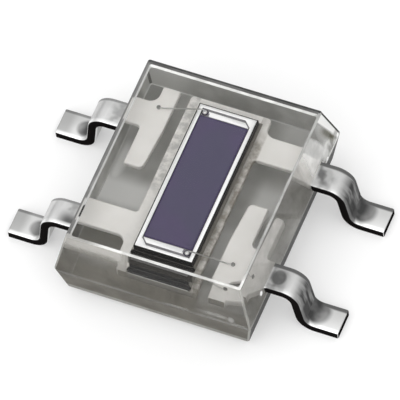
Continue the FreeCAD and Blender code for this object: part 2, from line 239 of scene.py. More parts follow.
# Ground underside: where it shows pale or brown through the block, pale with painted light in the gaps
# between the leads, brown and darker with painted shade towards the near end
GROUND_GREY = rgb(0.380, 0.378, 0.355), rgb(0.520, 0.518, 0.495)
GROUND_PALE = rgb(0.93, 0.93, 0.915)
GROUND_BROWN = rgb(0.380, 0.362, 0.310)
RECESS_SHADE_GREY = rgb(0.260, 0.258, 0.240)
LEFT_PALE_AT = -0.32
LEFT_PALE_LENGTH = (0.15, 0.55)
LEFT_PALE_END = (-1.0, -0.8)
RIGHT_PALE_AT = 0.45
RIGHT_PALE_LENGTH = (0.10, 0.60)
RIGHT_PALE_START = (0.9, 1.2)
GAP_PALE_SIDE = (0.6, 0.8)
GAP_PALE_START = (-1.6, -1.1)
GAP_PALE_END = (-0.6, -0.2)
STREAK_AT = (-1.84, 0.32)
STREAK_WIDTH = (0.02, 0.18)
STREAK_LENGTH = (0.2, 0.8)
FAR_PALE_START = (1.5, 1.9)
FAR_PALE_SIDE = (0.8, 1.2)
BROWN_END = (-1.25, -0.75)
BROWN_SIDE = (0.5, 0.8)
RECESS_SIDE = (-0.95, -0.85)
RECESS_END = (-1.3, -1.1)

# Border and rims, whose greys hold painted light and shade
# Painted shade: the border is darker along the far end than down the sides, and painted light where the
# leads show through
FAR_BORDER = rgb(0.070, 0.070, 0.068), rgb(0.130, 0.130, 0.127)
SIDE_BORDER = rgb(0.150, 0.150, 0.147), rgb(0.240, 0.240, 0.236)
BORDER_OVER_LEAD = rgb(0.420, 0.415, 0.400)
LEAD_SEEN_SHIFT = 0.27
LEAD_SEEN_WIDTH = (0.24, 0.30)
# Painted highlight along the near and right rims
RIM_HIGHLIGHT_GREY = rgb(0.50, 0.50, 0.485), rgb(0.84, 0.84, 0.825)
# Painted dark reflection along the far and left rims
DARK_RIM_GREY = grey(0.02), grey(0.06)
# Painted highlight along the edge of the land
LAND_EDGE_GREY = rgb(0.58, 0.58, 0.565), rgb(0.86, 0.86, 0.845)
# Painted shade down the sides of the rims and at the left end
SIDE_RIM_GREY = rgb(0.22, 0.22, 0.215)
LEFT_RIM_GREY = rgb(0.330, 0.325, 0.310)
NICK_BLACK = grey(0.02)
# Painted highlight at the near-right corner of the rim
BRIGHT_CORNER_END = (-2.05, -1.85)
BRIGHT_CORNER_SIDE = (1.0, 1.2)
LEFT_RIM_SIDE = (-1.5, -0.9)
LEFT_RIM_END = (-1.9, -1.8)
NICK_AT = (-1.80, -1.58)
NICK_DEPTH = (0.05, 0.06)
NICK_LENGTH = (0.12, 0.17)

# Silver inside the block: the paddle round the chip
SILVER = rgb(0.930, 0.912, 0.880), rgb(0.970, 0.952, 0.925)
SILVER_METALLIC = 0.3
SILVER_ROUGHNESS = 0.50
BESIDE_CHIP_START = (CHIP_HIGH.x, CHIP_HIGH.x + 0.02)
BESIDE_CHIP_END = (0.90, 0.96)
BESIDE_CHIP_FADE = (1.2, 1.6)
BESIDE_CHIP_BROWN = rgb(0.340, 0.310, 0.265)
CHIP_SHADOW_END = (CHIP_HIGH.x - 0.04, 0.90)
CHIP_SHADOW = rgb(0.13, 0.12, 0.10)
LEFT_STRIP_START = (-0.92, -0.86)
LEFT_STRIP_END = (-0.70, -0.64)
LEFT_STRIP_FADE = (-0.7, -0.1)
LEFT_STRIP_GREY = rgb(0.420, 0.415, 0.400)
# Painted shadow on the paddle before the near end of the chip
BEFORE_CHIP_WIDTH = (CHIP_HALF_WIDTH + 0.02, CHIP_HALF_WIDTH + 0.08)
BEFORE_CHIP_START = (CHIP_LOW.y - 0.132, CHIP_LOW.y - 0.122)
BEFORE_CHIP_END = (CHIP_LOW.y - 0.06, CHIP_LOW.y - 0.04)
BEFORE_CHIP_SHADOW = rgb(0.020, 0.019, 0.017)
PADDLE_LIP = (CHIP_LOW.y - 0.135, CHIP_LOW.y - 0.130)
PADDLE_LIP_GREY = rgb(0.380, 0.365, 0.330)

# Tin on the leads, with painted shade where they were bent and at their roots, dips and knees, a painted
# highlight along their near edges, a dark line along their far edges and painted black shade on their cut
# sides.
# TIP_TIN, DIP_OVER and DIP_SQUEEZE hold the left leads' value and the right leads' value.
LEAVES_BLOCK = (LEAD_OUTSIDE - 0.02, LEAD_OUTSIDE + 0.02)
TIN_ROUGHNESS = 0.32
# The tin of the left leads is lighter than that of the right leads: painted light and shade
TIN = rgb(0.52, 0.52, 0.515), rgb(0.64, 0.64, 0.635)
LEFT_TIN = rgb(0.62, 0.62, 0.615), rgb(0.76, 0.76, 0.755)
TIP_TIN = rgb(0.46, 0.46, 0.455), rgb(0.60, 0.60, 0.595)
TIP_START = (3.25, 3.45)
CUT_FACING = (0.72, 0.92)
CUT_END = (3.55, 3.60)
# Painted black shade on the cut sides
CUT_SHADE_BLACK = rgb(0.008, 0.007, 0.007)
TIN_SHADE = grey(0.05)
TOP_FACE = (1.10, 1.19)
BEND_FOOT = (0.20, 0.36)
BEND_TOP = (0.950, 1.195)
ROOT_START = (2.08, 2.16)
ROOT_END = (2.28, 2.66)
CORNER_ROOT_START = (-2.62, -2.25)
CORNER_ROOT_END = (-1.45, -1.10)
BLOTCH_AT = 2.30
BLOTCH_SQUEEZE = 1.2
BLOTCH_SIZE = (0.14, 0.27)
DIP_AT = 3.04
DIP_OVER = (-0.02, 0.06)
DIP_SQUEEZE = (1.5, 1.0)
DIP_SIZE = (0.22, 0.36)
DIP_TOP = (0.30, 0.46)
DIP_FADE = (3.02, 3.20)
KNEE_FOOT = (0.21, 0.26)
KNEE_TOP = (0.60, 0.95)
KNEE_SIDE = (-0.04, 0.20)
# A dark line along the far edges of the leads
LEFT_FAR_EDGE_DARK = (LEAD_HALF_WIDTH - 0.095, LEAD_HALF_WIDTH - 0.055)
RIGHT_FAR_EDGE_DARK = (LEAD_HALF_WIDTH - 0.125, LEAD_HALF_WIDTH - 0.075)
# Painted highlight along the near edges of the leads
NEAR_EDGE_HIGHLIGHT = (0.045 - LEAD_HALF_WIDTH, 0.110 - LEAD_HALF_WIDTH)
NEAR_EDGE_FOOT = (3.10, 3.28)
NEAR_EDGE_WHITE = rgb(0.95, 0.95, 0.945)

# Chip, window, films, glue and wires
SILICON = rgb(0.005, 0.0045, 0.004), rgb(0.012, 0.011, 0.010)
SAWN_SIDE = (CHIP_HALF_WIDTH - 0.012, CHIP_HALF_WIDTH - 0.004)
SAWN_SIDE_GREY = rgb(0.045, 0.042, 0.038)
GLASSED_TOP = (CHIP_HIGH.z - 0.004, CHIP_HIGH.z - 0.001)
GLASSED_START = (0.07, 0.08)
GLASSED_END = (0.28, 0.32)
GLASSED_WIDTH = (0.50, 0.54)
GLASSED_GREY = rgb(0.300, 0.295, 0.310)
WINDOW_VIOLET = rgb(0.114, 0.104, 0.178), rgb(0.124, 0.101, 0.192)
WINDOW_RIM = (0.0, 0.05)
WINDOW_RIM_VIOLET = rgb(0.070, 0.055, 0.120)
FILM_WHITE = rgb(0.960, 0.955, 0.975), grey(1.0)
BALL_SHADOW = (BALL_RADIUS + 0.025, BALL_RADIUS + 0.040)
BALL_SHADOW_VIOLET = rgb(0.05, 0.04, 0.07)
GLUE = rgb(0.40, 0.38, 0.34), rgb(0.75, 0.73, 0.69)
# Painted shade on the glue beside the chip and at its near end
GLUE_BESIDE_CHIP = (CHIP_HIGH.x - 0.010, CHIP_HIGH.x + 0.005)
GLUE_SHADE_BROWN = rgb(0.14, 0.13, 0.11)
GLUE_NEAR_END = (CHIP_LOW.y - 0.02, CHIP_LOW.y + 0.02)
GLUE_SHADE_BLACK = rgb(0.010, 0.009, 0.008)
WIRE_GREY = rgb(0.520, 0.515, 0.500), rgb(0.660, 0.655, 0.640)
STITCH = (STITCH_START, STITCH_START + 0.03)
STITCH_GREY = rgb(0.22, 0.22, 0.21)
# Painted highlight on the top of each ball
BALL_TOP = (0.02, 0.04)
BALL_HIGHLIGHT_WHITE = rgb(0.96, 0.96, 0.97)

# Floor, which glows a little so that it looks white
FLOOR_HALF_SIZE = 1000.0
FLOOR_WHITE = grey(0.52), grey(0.54)
FLOOR_GLOW = grey(0.32)

# Sky, as its level at the horizon and high up, and the heights between which it changes
SKY_LEVELS = grey(0.30), grey(1.15)
SKY_RISE = (0.0, 0.6)

# Patches of the sky, as azimuth, elevation, how wide each reaches, how wide it is full, and its level.
# The flat top mirrors the first, which is dimmer so that the chip shows through.
SKY_PATCHES = [
    (208.8, 58.2, 55.0, 12.0, 0.92),
    (10.0, 62.0, 58.0, 20.0, 2.20),
]

# Long low lamp in front
SOFTBOX_AZIMUTH = -17.0
SOFTBOX_ELEVATION = 27.0
SOFTBOX_DISTANCE = 140.0
SOFTBOX_WIDTH = 90.0
SOFTBOX_HEIGHT = 30.0
SOFTBOX_RADIANCE = 1.2

# View of the photograph
CAMERA_AZIMUTH = 28.838
CAMERA_ELEVATION = 58.199
CAMERA_ROLL = -8.036
CAMERA_DISTANCE = 165.33
CAMERA_AIM_RIGHT = -0.0271
CAMERA_AIM_UP = 0.5168
CAMERA_LENS = 729.8
CAMERA_SENSOR = 36.0
CAMERA_CLIP_START = 1.0


class Port:
    """An output socket of a node tree; arithmetic on it adds Math nodes."""

    def __init__(self, nodes, socket):
        self.nodes = nodes
        self.socket = socket

    def math(self, operation, *numbers):
        return self.nodes.add("ShaderNodeMath", {"operation": operation}, dict(enumerate(numbers)))

    def __add__(self, other):
        return self.math("ADD", self, other)

    def __radd__(self, other):
        return self.math("ADD", other, self)

    def __sub__(self, other):
        return self.math("SUBTRACT", self, other)

    def __rsub__(self, other):
        return self.math("SUBTRACT", other, self)

    def __mul__(self, other):
        return self.math("MULTIPLY", self, other)

    def __rmul__(self, other):
        return self.math("MULTIPLY", other, self)

    def __abs__(self):
        return self.math("ABSOLUTE", self)

    def at_least(self, other):
        return self.math("MAXIMUM", self, other)

    def rise(self, edge):
        """0 before a soft edge, 1 after it, and a smooth step from one to the other."""
        start, end = edge
        settings = {"interpolation_type": "SMOOTHSTEP"}
        return self.nodes.add("ShaderNodeMapRange", settings, {0: self, 1: start, 2: end})

    def fall(self, edge):
        """1 before a soft edge and 0 after it."""
        return 1 - self.rise(edge)

    def level(self, low, high):
        """A strength that is low where the mask is 0 and high where it is 1."""
        return low + (high - low) * self


def strongest(first, *others):
    """The highest of several masks."""
    for mask in others:
        first = first.at_least(mask)
    return first


class Nodes:
    """A node tree being put together."""

    def __init__(self, tree):
        self.tree = tree
        tree.nodes.clear()

    def add(self, kind, settings=None, sockets=None, output=0):
        """Adds a node, makes its settings, then fills its sockets with values or links."""
        node = self.tree.nodes.new(kind)
        for name, value in (settings or {}).items():
            setattr(node, name, value)
        for name, value in (sockets or {}).items():
            if isinstance(value, Port):
                self.tree.links.new(value.socket, node.inputs[name])
            else:
                node.inputs[name].default_value = value
        return Port(self, node.outputs[output]) if node.outputs else None

    def length(self, across, along):
        """The distance that two steps at right angles make."""
        square = across * across + along * along
        return square.math("SQRT", square)

    def mix(self, factor, first, second):
        """A colour between two colours."""
        return self.add("ShaderNodeMix", {"data_type": "RGBA"}, {0: factor, 6: first, 7: second}, output=2)

    def layered(self, colour, *layers):
        """A colour with others laid over it in turn; a layer is its mask and its colour."""
        for mask, paint in layers:
            colour = self.mix(mask, colour, paint)
        return colour

    def split(self, vector):
        """The three parts of a vector."""
        return [self.add("ShaderNodeSeparateXYZ", sockets={0: vector}, output=axis) for axis in "XYZ"]

    def place(self):
        """Where the point of the piece is, in millimetres: its x, y and z, and all three as a vector."""
        spot = self.add("ShaderNodeTexCoord", output="Object")
        spot = self.add("ShaderNodeVectorMath", {"operation": "SCALE"}, {0: spot, "Scale": 1 / MM})
        return *self.split(spot), spot

    def facing(self):
        """The x, y and z of the direction that the surface faces."""
        return self.split(self.add("ShaderNodeNewGeometry", output="Normal"))

    def side(self, x, y):
        """1 along the block's two long sides and 0 along its ends."""
        return (abs(x) - abs(y) * (BLOCK_HIGH.x / BLOCK_HIGH.y)).rise(DIAGONAL)

    def noise(self, spot, scale, detail=2.0, roughness=0.5):
        """Cloudy noise of that many spots a millimetre."""
        sockets = {"Vector": spot, "Scale": scale, "Detail": detail, "Roughness": roughness}
        return self.add("ShaderNodeTexNoise", {"noise_dimensions": "3D"}, sockets)

    def bump(self, height, strength, distance):
        sockets = {"Height": height, "Strength": strength, "Distance": distance * MM}
        return self.add("ShaderNodeBump", sockets=sockets)

    def principled(self, **sockets):
        """The main surface node; a socket's name is written small, with lines for its spaces."""
        values = {}
        for name, value in sockets.items():
            values[name.replace("_", " ").title().replace("Ior", "IOR")] = value
        return self.add("ShaderNodeBsdfPrincipled", sockets=values)


def finish(name, recipe, *values):
    """A material whose surface is what the recipe makes."""
    material = bpy.data.materials.new(name)
    material.use_nodes = True
    nodes = Nodes(material.node_tree)
    surface = recipe(nodes, *values)
    nodes.add("ShaderNodeOutputMaterial", sockets={"Surface": surface})
    return material


def right_wall_marks(nodes, y, z, across, along, right, cloud, flecks):
    """Masks of what shows in the right-hand wall, by name; most are painted light and shade."""
    from_far = BLOCK_HIGH.y - (z - PARTING_HEIGHT) * UPPER_LEAN - y
    slanted_from_far = from_far + (FAR_SLANT_TOP - z) * FAR_SLANT
    far_end = right * y.rise(FAR_END) * z.rise(FAR_END_FOOT)
    web = right * y.rise(WEB_START) * (y + z * WEB_SLANT).fall(WEB_END) * z.rise(HAZE_FOOT)
    hollow = right * slanted_from_far.rise(HOLLOW_START) * slanted_from_far.fall(HOLLOW_END)
    rim = from_far.fall(OUTLINE_WIDTH) * z.rise(OUTLINE_FOOT)
    glints = [nodes.length(y - glint_y, z - glint_z).fall(GLINT_SIZE) for glint_y, glint_z in GLINTS]
    # Painted highlights, the pale painted web and a painted dark outline are among these masks
    return {
        "far_end": far_end,
        "fleck_highlight": far_end * z.fall(FLECK_HIGHLIGHT_TOP) * flecks.level(0.50, 0.95),
        "corner_highlight": across.rise(CORNER_HIGHLIGHT_FACING) * slanted_from_far.fall(CORNER_HIGHLIGHT_EDGE) * z.rise(CORNER_HIGHLIGHT_FOOT),
        "web": web * cloud.level(0.4, 0.7),
        "hollow": hollow * z.rise(HOLLOW_FOOT) * z.fall(HOLLOW_TOP),
        "pale_end": right * y.rise(PALE_END_START) * slanted_from_far.fall(PALE_END_END) * z.rise(HAZE_FOOT),
        "outline": right * along.rise(OUTLINE_FACING).at_least(rim),
        "glint": strongest(*glints) * right,
    }


def near_wall_marks(nodes, x, z, near):
    """Masks of what shows in the near wall and through it, by name."""
    squeeze_x, squeeze_z = SMUDGE_SQUEEZE
    from_smudge = nodes.length((x - SMUDGE_AT[0]) * squeeze_x, (z - SMUDGE_AT[1]) * squeeze_z)
    from_dot = nodes.length(x - GLINT_DOT_AT[0], z - GLINT_DOT_AT[1])
    # The smudge together with a painted glint dot
    smudge_and_glint = strongest(from_smudge.fall(SMUDGE_SIZE) * 0.40, from_dot.fall(GLINT_DOT_SIZE) * 0.55)
    in_front = near * abs(x - CHIP_SEEN_AT).fall(CHIP_SEEN)
    return {
        "smudge_and_glint": near * smudge_and_glint,
        "chip": in_front * z.rise(CHIP_SEEN_FOOT),
        "ring": in_front * z.rise(RING_SEEN_FOOT),
        "arm": near * z.rise(ARM_SEEN_FOOT) * x.fall(ARM_SEEN_END),
        "post": x.rise(POST_SEEN_START) * z.rise(POST_SEEN_FOOT),
    }


def clear_epoxy(nodes):
    """Polished epoxy above the parting line and dull below it, milky at its seam and its corners, with
    painted light and shade laid into its haze.
    """
    x, y, z, spot = nodes.place()
    across, along, up = nodes.facing()
    outside = 1 - nodes.add("ShaderNodeNewGeometry", output="Backfacing")
    turned = nodes.add("ShaderNodeLayerWeight", sockets={"Blend": 0.5}, output="Facing")
    cloud = nodes.noise(spot, EPOXY_CLOUDS, detail=3.0).rise(CLOUDY)
    flecks = nodes.noise(spot, EPOXY_FLECKS).rise(FLECKED)
    wisps = nodes.noise(spot, EPOXY_WISPS).rise(WISPY)
    wall = abs(up).fall(SQUARE_ON)
    back = (y * (1 / BLOCK_HIGH.y) - x * (1 / BLOCK_HIGH.x)).rise(MIDDLE)
    right = x.rise(RIGHT_WALL) * abs(across).rise(SQUARE_ON)
    near = y.fall(NEAR_WALL) * abs(along).rise(SQUARE_ON)
    in_right = right_wall_marks(nodes, y, z, across, along, right, cloud, flecks)
    in_near = near_wall_marks(nodes, x, z, near)
    seam = abs(z - PARTING_HEIGHT).fall(SEAM) * wall * (1 - back)
    seam = seam * (0.6 * wisps).at_least(in_right["far_end"])
    corner = (abs(across) * abs(along)).rise(CORNER_TURN) * wall
    skirt = z.fall(SKIRT)
    sill = near * z.fall(SILL_TOP) * cloud.level(0.6, 0.9)
    # Painted dark reflection on the lower walls and corners where they are seen at a grazing angle
    edge = turned.rise(TURNED_AWAY) * (skirt * wall).at_least(corner) * outside * x.rise(DARK_EDGE)
    # Painted light and shade over the haze: paler back walls, white flecks and highlights, the web painted
    # pale, glints, and painted dark edges and outlines
    colour = nodes.layered(
        nodes.mix(cloud, *DULL),
        (right * (1 - skirt), nodes.mix(cloud, *DULL_RIGHT)),
        (back * y.rise(PALE_BACK), nodes.mix(cloud, *PALE_DULL)),
        (back * y.rise(FAR_LEFT_END) * x.fall(FAR_LEFT_SIDE), PALEST_DULL),
        (in_right["fleck_highlight"], FLECK_HIGHLIGHT_WHITE),
        (strongest(seam, corner, sill), MILKY),
        (seam * in_right["far_end"], FAR_SEAM_WHITE),
        (in_right["corner_highlight"], CORNER_HIGHLIGHT_WHITE),
        (in_right["web"].at_least(in_right["pale_end"] * 0.3).rise(WEB_SHOWS), WEB_WHITE),
        (in_right["hollow"], HOLLOW_BROWN),
        (in_near["smudge_and_glint"], SMUDGE_AND_GLINT_GREY),
        (in_right["glint"], GLINT_WHITE),
        (edge.at_least(in_right["outline"]), GRAZING_SHADE_BLACK),
        (in_near["arm"] * 0.7, ARM_HAZE),
        (in_near["ring"], RING_SHADE),
    )
    factor = strongest(
        skirt * 0.88,
        seam,
        corner * cloud.level(0.55, 0.80),
        edge * 0.9,
        near * cloud.level(0.46, 0.61) * in_near["post"].level(1.0, 0.4) * (1 - in_near["chip"]),
        right * cloud.level(0.36, 0.51) * y.fall(RIGHT_VEIL_END),
        in_near["ring"] * 0.85,
        in_near["smudge_and_glint"],
        in_near["arm"] * 0.5,
        in_right["fleck_highlight"] * 0.8,
        in_right["web"],
        in_right["glint"],
        in_right["pale_end"] * 0.3,
        in_right["corner_highlight"],
        in_right["hollow"] * 0.55,
        in_right["outline"] * 0.9,
    )
    clear = nodes.principled(base_color=RESIN_TINT, roughness=0.08 * right, ior=RESIN_IOR,
                             specular_tint=RESIN_REFLECTION, transmission_weight=1.0)
    haze = nodes.principled(base_color=colour, roughness=0.6, specular_ior_level=0.1)
    return nodes.add("ShaderNodeMixShader", sockets={0: factor, 1: clear, 2: haze})


def ground_epoxy(nodes):
    """The ground underside, grey through the block, with painted light palest between the leads and painted
    shade towards the near end.
    """
    x, y, _, spot = nodes.place()
    cloud = nodes.noise(spot, GROUND_CLOUDS).rise(CLOUDY)
    # Painted light in the gaps between the leads and along a streak
    pale = strongest(
        abs(y - LEFT_PALE_AT).fall(LEFT_PALE_LENGTH) * x.fall(LEFT_PALE_END),
        abs(y - RIGHT_PALE_AT).fall(RIGHT_PALE_LENGTH) * x.rise(RIGHT_PALE_START) * 0.7,
        y.rise(GAP_PALE_START) * y.fall(GAP_PALE_END) * x.rise(GAP_PALE_SIDE) * 0.6,
        abs(x - STREAK_AT[0]).fall(STREAK_WIDTH) * abs(y - STREAK_AT[1]).fall(STREAK_LENGTH),
        y.rise(FAR_PALE_START) * x.rise(FAR_PALE_SIDE) * 0.5,
    )
    colour = nodes.layered(
        nodes.mix(cloud, *GROUND_GREY),
        (pale, GROUND_PALE),
        # Painted shade near the near end, and darker at the near-left corner
        (y.fall(BROWN_END) * x.fall(BROWN_SIDE), GROUND_BROWN),
        (x.fall(RECESS_SIDE) * y.fall(RECESS_END) * 0.4, RECESS_SHADE_GREY),
    )
    return nodes.principled(base_color=colour, roughness=0.6, ior=RESIN_IOR, transmission_weight=0.1)


def painted_epoxy(nodes, colour):
    """The surface of a rim or a border: rough epoxy that scatters light and lets a little through, its
    colour given with painted light and shade.
    """
    return nodes.principled(base_color=colour, roughness=0.45, ior=RESIN_IOR, specular_ior_level=0.1,
                            transmission_weight=0.2)


def border_epoxy(nodes):
    """The flat border behind the raised land, darker along the far end than down the sides with painted
    shade, and paler where the leads lie under it with painted light.
    """
    x, y, _, spot = nodes.place()
    mottle = nodes.noise(spot, BORDER_MOTTLE).rise(CLOUDY)
    side = nodes.side(x, y)
    from_lead = abs(abs(y + LEAD_SEEN_SHIFT) - LEAD_PITCH / 2)
    return painted_epoxy(nodes, nodes.layered(
        nodes.mix(mottle, *FAR_BORDER),
        (side, nodes.mix(mottle, *SIDE_BORDER)),
        (from_lead.fall(LEAD_SEEN_WIDTH) * side, BORDER_OVER_LEAD),
    ))


def rim_epoxy(nodes, dull, bright):
    """A rim mottled between a dull and a bright grey that are painted highlight or painted dark reflection,
    greyer down the sides than along the ends with painted shade, brighter at the near-right corner with a
    painted highlight, and with a nick over the near-left lead.
    """
    x, y, _, spot = nodes.place()
    mottle = nodes.noise(spot, RIM_MOTTLE).rise(CLOUDY)
    side = nodes.side(x, y)
    bright_corner = y.fall(BRIGHT_CORNER_END) * x.rise(BRIGHT_CORNER_SIDE)
    left_end = x.fall(LEFT_RIM_SIDE) * y.fall(LEFT_RIM_END) * (1 - side)
    nick = abs(x - NICK_AT[0]).fall(NICK_DEPTH) * abs(y - NICK_AT[1]).fall(NICK_LENGTH)
    return painted_epoxy(nodes, nodes.layered(
        nodes.mix(mottle, dull, bright),
        (side * (1 - bright_corner) * 0.6, SIDE_RIM_GREY),
        (left_end * 0.9, LEFT_RIM_GREY),
        (nick, NICK_BLACK),
    ))


def inner_silver(nodes, x, y, spot, cloud, outside):
    """The colour of the silver inside the block, brown beside the chip, with painted shadow beside the chip
    and before its near end.
    """
    speckle = nodes.noise(spot, PLATING_SPECKLE, detail=3.0, roughness=0.6).rise(SPECKLED)
    beside_chip = x.rise(BESIDE_CHIP_START) * x.fall(BESIDE_CHIP_END)
    beside_chip = beside_chip * y.rise(BESIDE_CHIP_FADE).level(1.0, 0.3)
    left_strip = x.rise(LEFT_STRIP_START) * x.fall(LEFT_STRIP_END)
    left_strip = left_strip * y.rise(LEFT_STRIP_FADE).level(0.1, 1.0)
    before_chip = abs(x - CHIP_MIDDLE.x).fall(BEFORE_CHIP_WIDTH)
    before_chip = before_chip * y.rise(BEFORE_CHIP_START) * y.fall(BEFORE_CHIP_END)
    return nodes.layered(
        nodes.mix(cloud, *SILVER),
        (beside_chip * speckle.level(0.3, 0.9), BESIDE_CHIP_BROWN),
        (beside_chip * x.fall(CHIP_SHADOW_END) * 0.75, CHIP_SHADOW),
        (left_strip * speckle * 0.6, LEFT_STRIP_GREY),
        (before_chip * 0.96, BEFORE_CHIP_SHADOW),
        (y.fall(PADDLE_LIP) * (1 - outside), PADDLE_LIP_GREY),
    )


def lead_shade(nodes, x, y, z, spot, over, right):
    """How much painted shade the tin takes: at the bends, at the root, in the foot's dip and at the knee,
    with a dark blotch on the right shoulders and a dark line along the far edge.
    """
    out = abs(x)
    patches = nodes.noise(spot, PLATING_PATCHES).rise(PATCHY)
    stretched = nodes.add("ShaderNodeVectorMath", {"operation": "MULTIPLY"}, {0: spot, 1: PLATING_STREAKS})
    streaks = nodes.noise(stretched, 1.0).rise(STREAKY)
    bend = z.rise(BEND_FOOT) * z.fall(BEND_TOP) * right.level(0.3, 1.0)
    root = out.rise(ROOT_START) * out.fall(ROOT_END) * z.rise(TOP_FACE)
    corner_root = x.rise(CORNER_ROOT_START) * y.fall(CORNER_ROOT_END) * (1 - right) * z.rise(TOP_FACE)
    blotch = nodes.length((out - BLOTCH_AT) * BLOTCH_SQUEEZE, over).fall(BLOTCH_SIZE)
    from_dip = nodes.length(out - DIP_AT, over - right.level(*DIP_OVER)) * right.level(*DIP_SQUEEZE)
    dip = from_dip.fall(DIP_SIZE) * z.fall(DIP_TOP)
    far_edge_dark = over.rise([right.level(*places) for places in zip(LEFT_FAR_EDGE_DARK, RIGHT_FAR_EDGE_DARK)])
    knee = right * z.rise(KNEE_FOOT) * z.fall(KNEE_TOP) * over.fall(KNEE_SIDE)
    return strongest(
        bend * streaks.level(0.62, 0.98),
        root * patches.level(0.25, 1.0) * right.level(0.55, 0.85),
        corner_root * 0.9,
        blotch * right * y.rise(MIDDLE).level(0.90, 0.45) * patches.level(0.82, 1.0),
        dip * (0.58 + 0.06 * right + 0.14 * patches + 0.24 * out.fall(DIP_FADE)),
        far_edge_dark * right.level(0.65, 0.90),
        knee * 0.95,
    )


def plating(nodes):
    """Matt silver inside the block and tin outside it, with painted shade where it was bent, a painted
    highlight along its near edges, and painted black shade where it was cut.
    """
    x, y, z, spot = nodes.place()
    across, along, _ = nodes.facing()
    outside = abs(x).rise(LEAVES_BLOCK)
    right = x.rise(MIDDLE)
    over = y - (y.rise(MIDDLE) - 0.5) * LEAD_PITCH
    cloud = nodes.noise(spot, PLATING_CLOUDS).rise(CLOUDY)
    grain = nodes.noise(spot, PLATING_GRAIN)
    near_highlight = over.fall(NEAR_EDGE_HIGHLIGHT) * (1 - 0.75 * right * abs(x).fall(NEAR_EDGE_FOOT))
    tin_shade = lead_shade(nodes, x, y, z, spot, over, right) * near_highlight.level(1.0, 0.25)
    cut_side = outside * abs(along).rise(CUT_FACING)
    cut = cut_side.at_least(abs(across).rise(CUT_FACING) * abs(x).rise(CUT_END))
    # Painted highlight along the near edges, painted shade, and painted black shade on the cut sides
    tin = nodes.layered(
        nodes.mix(right, nodes.mix(cloud, *LEFT_TIN), nodes.mix(cloud, *TIN)),
        (abs(x).rise(TIP_START), nodes.mix(right, *TIP_TIN)),
        (near_highlight * 0.8, NEAR_EDGE_WHITE),
        (tin_shade, TIN_SHADE),
        (cut, CUT_SHADE_BLACK),
    )
    return nodes.principled(
        base_color=nodes.mix(outside, inner_silver(nodes, x, y, spot, cloud, outside), tin),
        metallic=SILVER_METALLIC * (1 - outside) + outside * (1 - tin_shade.at_least(cut)),
        roughness=outside.level(SILVER_ROUGHNESS, TIN_ROUGHNESS) + 0.08 * grain,
        specular_ior_level=0.0,
        normal=nodes.bump(grain, strength=0.12, distance=0.01),
    )


def sawn_silicon(nodes):
    """Dark silicon with fine saw lines down its sides, and glassed grey between its films at the ends."""
    x, y, z, spot = nodes.place()
    lines = nodes.noise(spot, SAW_LINES)
    from_middle = abs(x - CHIP_MIDDLE.x)
    from_end = CHIP_HALF_LENGTH - abs(y - CHIP_MIDDLE.y)
    glassed = z.rise(GLASSED_TOP) * from_end.rise(GLASSED_START) * from_end.fall(GLASSED_END)
    colour = nodes.layered(
        nodes.mix(lines, *SILICON),
        (from_middle.rise(SAWN_SIDE), SAWN_SIDE_GREY),
        (glassed * from_middle.fall(GLASSED_WIDTH), GLASSED_GREY),
    )
    relief = nodes.bump(lines, strength=0.15, distance=0.004)
    return nodes.principled(base_color=colour, roughness=0.5, ior=1.1, normal=relief)


def window_coating(nodes):
    """The violet coating over the light-sensitive area, deeper along its rim."""
    x, y, _, spot = nodes.place()
    low, high = node_box("active_window")
    from_side = (high.x - low.x) / 2 - abs(x - CHIP_MIDDLE.x)
    from_end = (high.y - low.y) / 2 - abs(y - CHIP_MIDDLE.y)
    rim = 1 - from_side.rise(WINDOW_RIM) * from_end.rise(WINDOW_RIM)
    patches = nodes.noise(spot, WINDOW_PATCHES, detail=1.0).rise(BLOTCHED)
    colour = nodes.layered(nodes.mix(patches, *WINDOW_VIOLET), (rim, WINDOW_RIM_VIOLET))
    return nodes.principled(base_color=colour, roughness=0.3, ior=1.2)


def round_balls(nodes, x, y, size, paint):
    """A layer of colour round the middle of each ball."""
    return [(nodes.length(x - ball_x, y - ball_y).fall(size), paint) for ball_x, ball_y in BALLS]


def chip_metal(nodes):
    """Bright evaporated metal, dark in a ring round each ball."""
    x, y, _, spot = nodes.place()
    grain = nodes.noise(spot, FILM_GRAIN)
    rings = round_balls(nodes, x, y, BALL_SHADOW, BALL_SHADOW_VIOLET)
    colour = nodes.layered(nodes.mix(grain, *FILM_WHITE), *rings)
    return nodes.principled(base_color=colour, metallic=1.0, roughness=0.38 + 0.1 * grain)


def glue(nodes):
    """Silver-filled glue, with painted shade, brown beside the chip and black at the near end."""
    x, y, _, spot = nodes.place()
    grain = nodes.noise(spot, GLUE_GRAIN, detail=3.0)
    colour = nodes.layered(
        nodes.mix(grain, *GLUE),
        (x.rise(GLUE_BESIDE_CHIP) * 0.8, GLUE_SHADE_BROWN),
        (y.fall(GLUE_NEAR_END), GLUE_SHADE_BLACK),
    )
    relief = nodes.bump(grain, strength=0.2, distance=0.01)
    return nodes.principled(base_color=colour, roughness=0.6, ior=1.2, normal=relief)


def bonding_wire(nodes):
    """Grey wire with a painted highlight on its ball, dark where its end is pressed flat."""
    x, y, _, spot = nodes.place()
    grain = nodes.noise(spot, WIRE_GRAIN)
    tops = round_balls(nodes, x, y, BALL_TOP, BALL_HIGHLIGHT_WHITE)
    colour = nodes.layered(nodes.mix(grain, *WIRE_GREY), (abs(x).rise(STITCH), STITCH_GREY), *tops)
    return nodes.principled(base_color=colour, metallic=1.0, roughness=0.35)


